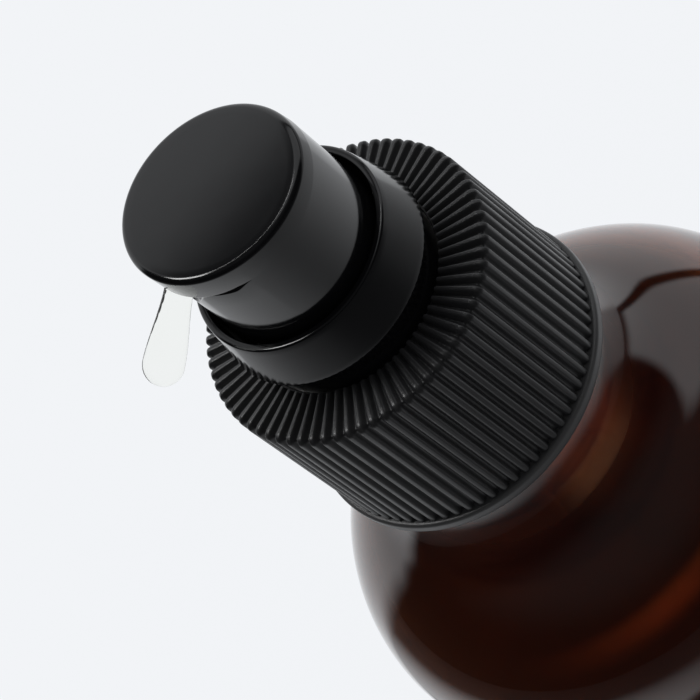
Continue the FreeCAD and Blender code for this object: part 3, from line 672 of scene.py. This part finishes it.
print("mesh helpers ready")


# %% [markdown]
# ## Bottle
# A Boston round: a hollow base, a straight body, one big arc for the shoulder, and a hollow up to the neck. The glass
# has an inside as well, because light bends at both faces. The screw thread is raised on the neck's own grid: a
# height that depends on how far a point is from the middle of the thread's helix.

# %% Neck and thread
NECK_TOP, NECK_RADIUS = 112.8, 10.8
PITCH, NECK_TURNS, THREAD_DROP = 3.175, 1.5, 3.2
NECK_THREAD_START = NECK_TOP - THREAD_DROP - NECK_TURNS * PITCH
RUN_OUT = 0.07


def smooth(value):
    """The smooth step: 0 below 0, 1 above 1, and 3v^2 - 2v^3 between."""
    value = np.clip(value, 0, 1)
    return value * value * (3 - 2 * value)


def helix_height(around, up, start, turns, foot, crest, depth):
    """Height of a screw thread at an angle and a level.

    The helix rises one pitch a turn from its start. A point's turn is the nearest pass of the helix. The height is
    full within half the crest's width of that pass and falls to nothing at half the foot's width. Both ends run out.
    """
    above = up - start - PITCH * around / (2 * np.pi)
    turn = np.round(above / PITCH)
    away = np.abs(above - turn * PITCH)
    along = turn + around / (2 * np.pi)
    ends = smooth(along / RUN_OUT) * smooth((turns - along) / RUN_OUT)
    return depth * ends * np.clip((foot / 2 - away) / (foot / 2 - crest / 2), 0, 1)


print("thread starts at", NECK_THREAD_START)


# %% Parts of the bottle's outline
def arc(centre, radius, start, end, count):
    """Points on an arc: the centre plus the radius along each angle, in degrees."""
    around = np.radians(np.linspace(start, end, count))
    return np.stack([centre[0] + radius * np.cos(around), centre[1] + radius * np.sin(around)], -1)


def wall(radius, start, end, count):
    """Points up or down a straight wall, without its ends."""
    return np.stack([np.full(count, radius), np.linspace(start, end, count)], -1)[1:-1]


def dome(radius, level, rise, count):
    """A shallow dome from its centre out: the level plus the rise times 1 - s^2, at s times the radius."""
    share = np.linspace(0, 1, count)
    return np.stack([radius * share, level + rise * (1 - share ** 2)], -1)


def shoulder(centre, round_radius, hollow, neck, count):
    """The shoulder's arc and the hollow that takes it to the neck. Their centres lie both radii apart."""
    away = neck + hollow - centre[0]
    rise = math.sqrt((round_radius + hollow) ** 2 - away ** 2)
    meet = math.degrees(math.atan2(rise, away))
    hollow_centre = (neck + hollow, centre[1] + rise)
    lower = arc(centre, round_radius, 0, meet, count)
    upper = arc(hollow_centre, hollow, meet + 180, 180, count // 2)
    return np.concatenate([lower, upper[1:]])


print("the shoulder's round is", SHOULDER_ROUND, "mm")


# %% Bottle
GLASS, HEEL, LIP_ROUND = 2.0, 3.5, 0.6
NECK_HOLLOW, BORE_HOLLOW, BORE_RADIUS = 9.0, 5.0, 8.0
BASE_RADIUS, BASE_RISE = 17.0, 1.2
INNER_FLOOR, INNER_HEEL = 3.2, 3.0
BOTTLE_COLUMNS = 240


def make_bottle():
    """Turn one outline: the base from its middle, up the outside, over the lip, down the bore and the inside."""
    centre = (BODY_RADIUS - SHOULDER_ROUND, SHOULDER_START)
    outside = shoulder(centre, SHOULDER_ROUND, NECK_HOLLOW, NECK_RADIUS, 28)
    inside = shoulder(centre, SHOULDER_ROUND - GLASS, BORE_HOLLOW, BORE_RADIUS, 28)
    neck_start, bore_start = outside[-1, 1], inside[-1, 1]
    lip = NECK_TOP - LIP_ROUND
    inner_radius, inner_start = BODY_RADIUS - GLASS, INNER_FLOOR + INNER_HEEL
    profile = np.concatenate([
        dome(BASE_RADIUS, 0.0, BASE_RISE, 14),
        arc((BODY_RADIUS - HEEL, HEEL), HEEL, -90, 0, 14),
        wall(BODY_RADIUS, HEEL, SHOULDER_START, 20),
        outside,
        wall(NECK_RADIUS, neck_start, lip, 76),
        arc((NECK_RADIUS - LIP_ROUND, lip), LIP_ROUND, 0, 90, 7),
        arc((BORE_RADIUS + LIP_ROUND, lip), LIP_ROUND, 90, 180, 7),
        wall(BORE_RADIUS, lip, bore_start, 12),
        inside[::-1],
        wall(inner_radius, SHOULDER_START, inner_start, 20),
        arc((inner_radius - INNER_HEEL, inner_start), INNER_HEEL, 0, -90, 10),
        dome(BASE_RADIUS, INNER_FLOOR, BASE_RISE, 14)[::-1],
    ])
    across = np.repeat(profile[:, :1], BOTTLE_COLUMNS, axis=1)
    up = np.repeat(profile[:, 1:], BOTTLE_COLUMNS, axis=1)
    on_neck = np.isclose(across, NECK_RADIUS) & (up > neck_start)
    around = angles(BOTTLE_COLUMNS)
    raised = helix_height(around, up, NECK_THREAD_START, NECK_TURNS, foot=2.2, crest=1.0, depth=1.2)
    return skin("bottle_glass", turned(across + raised * on_neck, up), False, crisp=50.0)


dress(make_bottle(), "amber_glass", "bottle", "bottle")


# %% [markdown]
# ## Closure
# The closure is what gives the pump its look: 72 ribs with rounded crests and narrow V grooves run up its side and on
# over the edge of its top, and a plain band closes them at the bottom. Arrayed ribs would leave seams at that edge.
# Here the ribs are part of the closure's own surface: its outline is turned with twelve columns for each rib, and
# every point on the ribbed part moves out along the outline's normal by the rib's height. So the ribs turn the corner
# by themselves.

# %% Ribs
RIBS, RIB_COLUMNS = 72, 12
RIB_HEIGHT = 0.5
RIB_FOOT, RIB_CREST = 0.47, 0.13


def rib_shape(columns):
    """Height of the ribs round the closure, 0 to 1: a smooth step between foot and crest, on the share of a pitch."""
    share = np.abs((np.arange(columns) % RIB_COLUMNS) / RIB_COLUMNS - 0.5)
    return smooth((RIB_FOOT - share) / (RIB_FOOT - RIB_CREST))


def outward(across, up):
    """Normal of an outline that runs upwards on its outside: its direction turned by a quarter to the right."""
    along = np.gradient(across, axis=0), np.gradient(up, axis=0)
    length = np.maximum(np.hypot(*along), TINY)
    return along[1] / length, -along[0] / length


print(RIBS, "ribs of", RIB_HEIGHT, "mm")


# %% Closure
CLOSURE_THREAD_START = NECK_THREAD_START - PITCH / 2
LEAD_IN, RIB_STOP, THREAD_STOP = 0.6, 0.08, 0.4
BAND_SLACK, SIDE_SLACK, END_SLACK = 0.02, 0.05, 0.01


def make_closure():
    """Turn one closed outline, then raise the ribs and the thread on it.

    The ribs go wherever a point lies above the band and between the ribs' inner end and the side. That takes in the
    hidden wall of the bore as well.
    """
    bottom, plate_top, plate_under = 99.0, 116.6, 115.3
    side, band, bore, hole, rib_end = 13.5, 14.4, 12.3, 9.2, 9.5
    columns = RIBS * RIB_COLUMNS
    corners = [
        plain(bore + LEAD_IN, bottom),
        (band, bottom, 0.3, 5),
        (band, BAND_TOP, 0.35, 6),
        (side, BAND_TOP, 0.1, 3),
        *straight((side, BAND_TOP), (side, plate_top), 5),
        (side, plate_top, 0.22, 7),
        *straight((side, plate_top), (rib_end, plate_top), 4),
        plain(rib_end, plate_top),
        plain(rib_end - RIB_STOP, plate_top),
        (hole, plate_top, 0.15, 4),
        (hole, plate_under, 0.15, 3),
        (bore, plate_under, 0.3, 4),
        *straight((bore, plate_under), (bore, bottom + LEAD_IN), 40),
        plain(bore, bottom + LEAD_IN),
    ]
    across, up = rounded(corners, columns, True)
    ribbed = (up > BAND_TOP - BAND_SLACK) & (across < side + SIDE_SLACK) & (across > rib_end - END_SLACK)
    raised = RIB_HEIGHT * rib_shape(columns) * ribbed
    normal = outward(across, up)
    threaded = np.isclose(across, bore) & (up < plate_under - THREAD_STOP)
    thread = helix_height(angles(columns), up, CLOSURE_THREAD_START, 1.0, foot=1.575, crest=0.375, depth=1.2)
    grid = turned(across + normal[0] * raised - thread * threaded, up + normal[1] * raised)
    return skin("ribbed_closure", grid, True, crisp=55.0)


dress(make_closure(), "satin_black", "closure", "closure")


# %% [markdown]
# ## Collar
# A gloss cup stands round the head. Its side leans in towards the rim, its lower edge is rounded and hangs free over
# the closure, and a spigot under it is pushed on the pump through the closure's hole. One closed outline gives all of
# it.

# %% Collar
COLLAR_COLUMNS = 192


def make_collar():
    """Turn one closed outline: up the spigot and the cup's side, over the rim and down inside to the floor."""
    rim, edge, floor, under, spigot_end = 125.05, 119.85, 118.05, 117.25, 115.25
    socket, spigot, skirt, mouth, bore, hole = 8.05, 8.9, 10.15, 9.25, 8.6, 6.9
    corners = [
        (socket, spigot_end, 0.1, 3),
        (spigot, spigot_end, 0.2, 4),
        (spigot, edge, 0.2, 4),
        (skirt, edge, 0.75, 14),
        *straight((skirt, edge), (mouth, rim), 6),
        (mouth, rim, 0.24, 10),
        (bore, rim, 0.14, 6),
        (bore, floor, 0.4, 6),
        (hole, floor, 0.1, 3),
        (hole, under, 0.1, 3),
        (socket, under, 0.1, 3),
    ]
    return skin("gloss_collar", turned(*rounded(corners, COLLAR_COLUMNS, True)), True)


dress(make_collar(), "gloss_black", "pump", "collar")


# %% [markdown]
# ## Head
# The head is a slightly flared cup, upside down. Its top slants up towards the nozzle and is very nearly flat, its
# edge is rounded, and under the lip on the nozzle's side a scoop falls away to a small ledge. The scoop could be cut
# with a Boolean, but its edges fade out round the head. So each corner of the outline is a function of the angle from
# the nozzle, and the scoop's depth runs to nothing at 62 degrees.

# %% Head's top and side
HEAD_AXIS_TOP, HEAD_RADIUS, HEAD_REACH = 135.88, 8.35, 0.22
HEAD_SLANT = math.tan(math.radians(5.5))
HEAD_CROWN, CROWN_END, HEAD_EDGE = 0.08, 0.85, 1.0
SKIRT_BOTTOM, SKIRT_RADIUS, SKIRT_FLARE = 122.95, 7.95, 0.4
SCOOP_END, SCOOP_DEPTH, SCOOP_LEAN = 62, 0.9, 0.6
HEAD_COLUMNS = 288

from_nozzle = angles(HEAD_COLUMNS) - np.pi
away_degrees = np.degrees(np.abs(from_nozzle))
scooped = np.clip(1 - (away_degrees / SCOOP_END) ** 2, 0, 1)


def head_top(share):
    """The top at a share of its radius: the slanted plane plus a crown that is nothing where the edge begins."""
    across = share * (HEAD_RADIUS + HEAD_REACH * np.cos(from_nozzle))
    slanted = HEAD_SLANT * across * np.cos(from_nozzle)
    return across, HEAD_AXIS_TOP + slanted + HEAD_CROWN * (1 - (share / CROWN_END) ** 2)


def head_side(up):
    """Radius of the wall at a level: straight from the skirt to the top, and leaning in over the scoop."""
    share = (up - SKIRT_BOTTOM) / (HEAD_AXIS_TOP - SKIRT_BOTTOM)
    return SKIRT_RADIUS + (SKIRT_FLARE - SCOOP_LEAN * scooped) * share


print("the scoop spans", int((scooped > 0).sum()), "of", HEAD_COLUMNS, "columns")


# %% Head
LIP_LEVEL, LIP_REACH, LIP_HOLLOW = 133.45, 0.66, 0.12
LEDGE_LEVEL, LEDGE_RISE, LEDGE_SPREAD = 130.0, 2.8, 32
LEDGE_END_RISE, LEDGE_END_START, LEDGE_END_SPREAD = 0.6, 48, 14
LEDGE_SLOPE = 0.75
HAIR = 0.01
TOP_SHARES = (0.0, 0.2, 0.4, 0.6, 0.75, 0.86)


def make_head():
    """Turn the outline from the top's middle, over the edge and the lip, through the scoop and down the skirt.

    Where the scoop runs out, its corners stay a hair or more apart, so that none falls on another.
    """
    end_rise = LEDGE_END_RISE * smooth((away_degrees - LEDGE_END_START) / LEDGE_END_SPREAD)
    ledge = LEDGE_LEVEL + LEDGE_RISE * smooth(away_degrees / LEDGE_SPREAD) + end_rise
    ledge_edge = head_side(ledge)
    depth = SCOOP_DEPTH * scooped
    face = ledge_edge - depth
    inner_ledge = np.minimum(ledge + LEDGE_SLOPE * depth + HAIR, LIP_LEVEL - 3 * HAIR)
    lip = head_side(LIP_LEVEL) + LIP_REACH * scooped
    lip_under = LIP_LEVEL - 2 * HAIR + LIP_HOLLOW * scooped
    skirt_bore, skirt_top, hub_bore, bore_top = 6.9, 126.95, 5.95, 133.85
    corners = [
        *[plain(*head_top(share)) for share in TOP_SHARES],
        (*head_top(1.0), HEAD_EDGE, 14),
        (lip, LIP_LEVEL, 0.2, 6),
        (face, lip_under, 0.15, 4),
        (face, inner_ledge, 0.1, 4),
        (ledge_edge, ledge, 0.12, 5),
        *straight((ledge_edge, ledge), (SKIRT_RADIUS, SKIRT_BOTTOM), 4),
        (SKIRT_RADIUS, SKIRT_BOTTOM, 0.25, 6),
        (skirt_bore, SKIRT_BOTTOM, 0.15, 4),
        (skirt_bore, skirt_top, 0.2, 3),
        (hub_bore, skirt_top, 0.2, 3),
        (hub_bore, bore_top, 0.3, 4),
        plain(0.0, bore_top),
    ]
    return skin("pump_head", turned(*rounded(corners, HEAD_COLUMNS, False)), False, crisp=32.0)


head = make_head()
print("head without its hole has", len(head.data.polygons), "faces")


# %% [markdown]
# The nozzle's seat is a plain round hole through the scoop's face, so here a Boolean is the right tool. The cutter is
# a rod along X, made as a grid too, and the cut mesh replaces the head's own.

# %% Head with its nozzle hole
NOZZLE_LEVEL = 132.05
SEAT_BACK, SEAT_FRONT, SEAT_RADIUS = 5.0, 11.0, 1.15


def laid_along_x(along, across, columns=48):
    """Carry an outline round the X axis at the nozzle's level: x is minus along, y and z go round at across."""
    around = angles(columns)[None, :]
    along, across = np.array(along)[:, None], np.array(across)[:, None]
    return np.stack([-along + 0 * around, across * np.cos(around), NOZZLE_LEVEL + across * np.sin(around)], -1)


def cut(piece, cutter):
    """Take the cutter away from the piece for good."""
    boolean = piece.modifiers.new("seat", "BOOLEAN")
    boolean.object = cutter
    boolean.solver = "EXACT"
    graph = bpy.context.evaluated_depsgraph_get()
    whole = piece.data
    piece.data = bpy.data.meshes.new_from_object(piece.evaluated_get(graph))
    piece.modifiers.clear()
    bpy.data.meshes.remove(whole)
    bpy.data.objects.remove(cutter)
    return piece


rod = laid_along_x([SEAT_BACK, SEAT_BACK, SEAT_FRONT, SEAT_FRONT], [0.0, SEAT_RADIUS, SEAT_RADIUS, 0.0])
dress(cut(head, skin("seat_cutter", rod, False)), "gloss_black", "head", "actuator_shell")


# %% [markdown]
# ## Nozzle and drop
# The nozzle is a small tube pressed into the scoop. The drop that hangs from it is a slim pear: a neck, a slow swell,
# and a round end, lathed about its own slanted axis.

# %% Nozzle insert
def make_nozzle():
    """A tube: its outline runs along the outside, over the rounded mouth and back through the bore."""
    back, mouth, outside, bore = 2.65, 6.85, 1.1, 0.5
    corners = [
        plain(back, outside),
        (mouth, outside, 0.15, 5),
        (mouth, bore, 0.2, 6),
        plain(back, bore),
    ]
    along, across = rounded(corners, 1, True)
    return skin("nozzle_tube", laid_along_x(along[:, 0], across[:, 0]), True)


dress(make_nozzle(), "natural_plastic", "head", "nozzle_insert")


# %% Oil drop
DROP_ROOT = np.array([-7.9, 0.0, NOZZLE_LEVEL])
DROP_FALL = math.radians(32.6)
DROP_LENGTH, DROP_NECK, DROP_SWELL = 8.5, 1.2, 1.75
DROP_COLUMNS = 64


def make_drop():
    """Lathe about the drop's axis: the radius goes smoothly from neck to swell, then round a half circle."""
    body = np.linspace(0, 1, 26)
    end = np.radians(np.linspace(0, 90, 16))[1:]
    length = DROP_LENGTH - DROP_SWELL
    along = np.concatenate([[0.0], length * body, length + DROP_SWELL * np.sin(end)])
    swelling = DROP_NECK + (DROP_SWELL - DROP_NECK) * smooth(body)
    radius = np.concatenate([[0.0], swelling, DROP_SWELL * np.cos(end)])
    axis = np.array([-math.cos(DROP_FALL), 0.0, -math.sin(DROP_FALL)])
    lift = np.array([-math.sin(DROP_FALL), 0.0, math.cos(DROP_FALL)])
    around = angles(DROP_COLUMNS)[None, :, None]
    ring = np.cos(around) * lift + np.sin(around) * np.array([0.0, 1.0, 0.0])
    return skin("oil_pear", DROP_ROOT + along[:, None, None] * axis + radius[:, None, None] * ring, False)


dress(make_drop(), "clear_oil", "head", "oil_drop")


# %% [markdown]
# ## Return spring
# A coil of stainless wire, close-wound at both ends so that it stands flat. A circle is carried along a helix whose
# rise is slow in the first and last turn.

# %% Return spring
SPRING_BOTTOM, SPRING_TOP = 91.22, 103.18
SPRING_RADIUS, WIRE_RADIUS, SPRING_TURNS = 2.5, 0.3, 7.0
END_TURNS, CLOSED_PITCH = 1.2, 0.18
SPRING_STEPS, WIRE_COLUMNS = 420, 12


def make_spring():
    """Carry a circle along a helix. The rise is the running sum of a pitch that is closed at both ends."""
    turn = np.linspace(0, 1, SPRING_STEPS) * SPRING_TURNS
    open_part = smooth(turn / END_TURNS) * smooth((SPRING_TURNS - turn) / END_TURNS)
    rise = np.cumsum(CLOSED_PITCH + open_part)
    rise = (rise - rise[0]) / (rise[-1] - rise[0])
    up = SPRING_BOTTOM + WIRE_RADIUS + rise * (SPRING_TOP - SPRING_BOTTOM - 2 * WIRE_RADIUS)
    around = 2 * np.pi * turn
    out = np.stack([np.cos(around), np.sin(around), 0 * around], -1)
    centre = SPRING_RADIUS * out
    centre[:, 2] = up
    ahead = np.gradient(centre, axis=0)
    ahead /= np.linalg.norm(ahead, axis=1, keepdims=True)
    over = np.cross(ahead, out)
    size = np.full(SPRING_STEPS, WIRE_RADIUS)
    size[[0, -1]] = 0
    centre[0], centre[-1] = centre[1], centre[-2]
    circle = angles(WIRE_COLUMNS)[None, :, None]
    tube = out[:, None] * np.cos(circle) + over[:, None] * np.sin(circle)
    return skin("spring_coil", centre[:, None] + size[:, None, None] * tube, False)


spring = make_spring()
dress(spring, "spring_steel", "pump", "return_spring")
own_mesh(spring)


# %% [markdown]
# ## The other solids
# The pieces inside the pump are already right as solids, so they keep their meshes and only get the finish that the
# record names for them.

# %% Finishes for the solids
SOLID_FINISH = {
    "neck_gasket": "soft_seal", "piston": "soft_seal",
    "pump_housing": "natural_plastic", "housing_retainer": "natural_plastic", "ball_cage": "natural_plastic",
    "dip_tube": "natural_plastic", "stem": "natural_plastic", "valve_post": "natural_plastic",
    "actuator_core": "satin_black", "inlet_ball": "ball_steel",
}
for name, material in SOLID_FINISH.items():
    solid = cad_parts[name]
    solid.data.materials.clear()
    solid.data.materials.append(FINISHES[material])
print(len(SOLID_FINISH), "solids finished")
